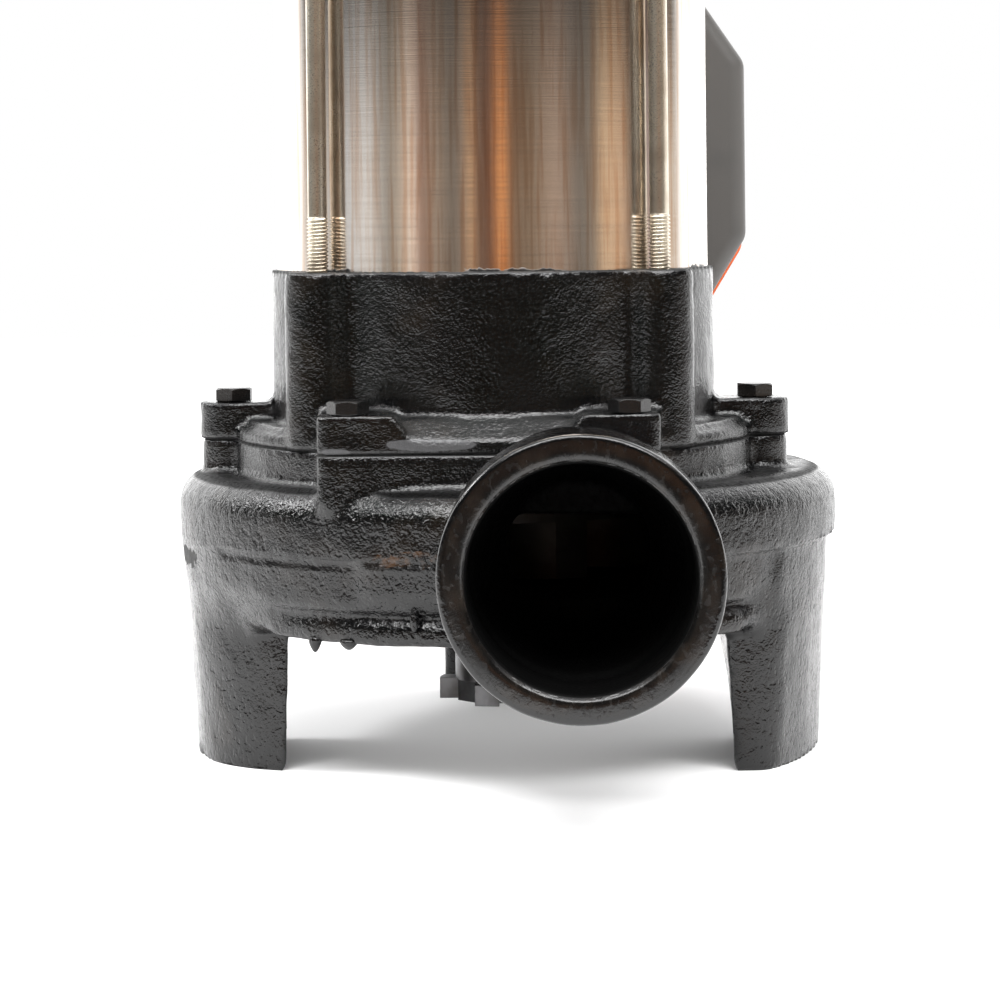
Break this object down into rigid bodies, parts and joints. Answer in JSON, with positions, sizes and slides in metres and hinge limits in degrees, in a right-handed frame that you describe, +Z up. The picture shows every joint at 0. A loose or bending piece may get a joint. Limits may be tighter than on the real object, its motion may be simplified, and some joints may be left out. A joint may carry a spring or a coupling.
{
  "type": "submersible grinder pump",
  "caption": "Submersible grinder pump on three legs: cast volute with a threaded side discharge, cutter inlet below, tie-rodded stainless motor, carrying handle and float switch.",
  "frame": {"origin": "where the shaft axis meets the floor that the three legs stand on", "axes": "+Z up along the shaft, -Y the way the discharge port faces, +X to the right seen from the port"},
  "size_m": [0.1926, 0.2957, 0.422],
  "materials": {
    "black_casting": "gloss black paint over a sand-cast skin",
    "raw_casting": "machined grey iron",
    "bright_steel": "ground",
    "hardened_steel": "satin, worn",
    "blackened_steel": "blackened, satin",
    "stainless_shell": "vertically reflecting, fine brushed",
    "stainless_fasteners": "satin",
    "laminated_steel": "laminated, dull",
    "cast_aluminium": "as cast",
    "copper": "enamelled",
    "brass": "satin",
    "ceramic": "lapped",
    "black_rubber": "matt",
    "cable_sheath": "smooth, half matt",
    "black_plastic": "fine grain",
    "white_plastic": "smooth",
    "grey_plastic": "fine grain",
    "orange_plastic": "fine grain"
  },
  "bodies": {
    "pump": {"volute_casing": "black_casting", "motor_bracket": "black_casting", "top_cover": "black_casting", "suction_cover": "black_casting", "oil_chamber_cover": "raw_casting", "cover_screws": "bright_steel", "cutter_ring": "hardened_steel", "cutter_ring_screws": "bright_steel", "oil_cover_o_ring": "black_rubber", "casing_bolts": "blackened_steel", "oil_plug": "blackened_steel", "oil_plug_washer": "copper", "lower_seal_seat": "ceramic", "upper_seal_seat": "ceramic", "lower_bearing_outer_ring": "bright_steel", "upper_bearing_outer_ring": "bright_steel", "motor_shell": "stainless_shell", "lower_o_ring": "black_rubber", "upper_o_ring": "black_rubber", "stator_core": "laminated_steel", "stator_windings": "copper", "upper_bearing_bracket": "cast_aluminium", "capacitor": "white_plastic", "terminal_block": "white_plastic", "tie_rods": "stainless_fasteners", "tie_rod_washers": "stainless_fasteners", "tie_rod_nuts": "stainless_fasteners", "handle": "stainless_fasteners", "handle_bolts": "stainless_fasteners", "power_gland_nut": "black_plastic", "power_gland_grommet": "black_rubber", "float_gland_nut": "black_plastic", "float_gland_sleeve": "black_rubber", "float_cable": "cable_sheath"},
    "rotor": {"shaft": "bright_steel", "shaft_circlip": "blackened_steel", "rotor_core": "laminated_steel", "rotor_end_rings": "cast_aluminium", "impeller": "raw_casting", "impeller_key": "bright_steel", "cutter_head": "hardened_steel", "cutter_screw": "bright_steel", "lower_seal_face": "ceramic", "upper_seal_face": "ceramic", "seal_spring": "bright_steel", "lower_bearing_inner_ring": "bright_steel", "upper_bearing_inner_ring": "bright_steel"},
    "lower_cage": {"lower_bearing_balls": "bright_steel", "lower_bearing_cage": "brass"},
    "upper_cage": {"upper_bearing_balls": "bright_steel", "upper_bearing_cage": "brass"},
    "float": {"float_front_shell": "grey_plastic", "float_rear_shell": "orange_plastic", "float_seam_seal": "black_rubber", "float_boot": "black_rubber", "float_ball_tube": "white_plastic", "float_micro_switch": "black_plastic", "float_weight": "hardened_steel"},
    "float_ball": {"float_ball": "bright_steel"}
  },
  "joints": [
    {"name": "rotor_spin", "type": "hinge", "parent": "pump", "child": "rotor", "pos_m": [0, 0, 0.134], "axis": [0, 0, 1], "continuous": true},
    {"name": "lower_bearing_roll", "type": "hinge", "parent": "pump", "child": "lower_cage", "pos_m": [0, 0, 0.134], "axis": [0, 0, 1], "continuous": true},
    {"name": "upper_bearing_roll", "type": "hinge", "parent": "pump", "child": "upper_cage", "pos_m": [0, 0, 0.3085], "axis": [0, 0, 1], "continuous": true},
    {"name": "float_swing", "type": "hinge", "parent": "pump", "child": "float", "pos_m": [0.0466, 0.1337, 0.29], "axis": [1, 0, 0], "range_deg": [-8, 100], "deforming": ["float_cable"]},
    {"name": "float_ball_roll", "type": "slide", "parent": "float", "child": "float_ball", "axis": [0, 0, 1], "range_m": [0, 0.012]}
  ],
  "couplings": [
    {"joint": "lower_bearing_roll", "follows": "rotor_spin", "ratio": 0.38158},
    {"joint": "upper_bearing_roll", "follows": "rotor_spin", "ratio": 0.38}
  ]
}
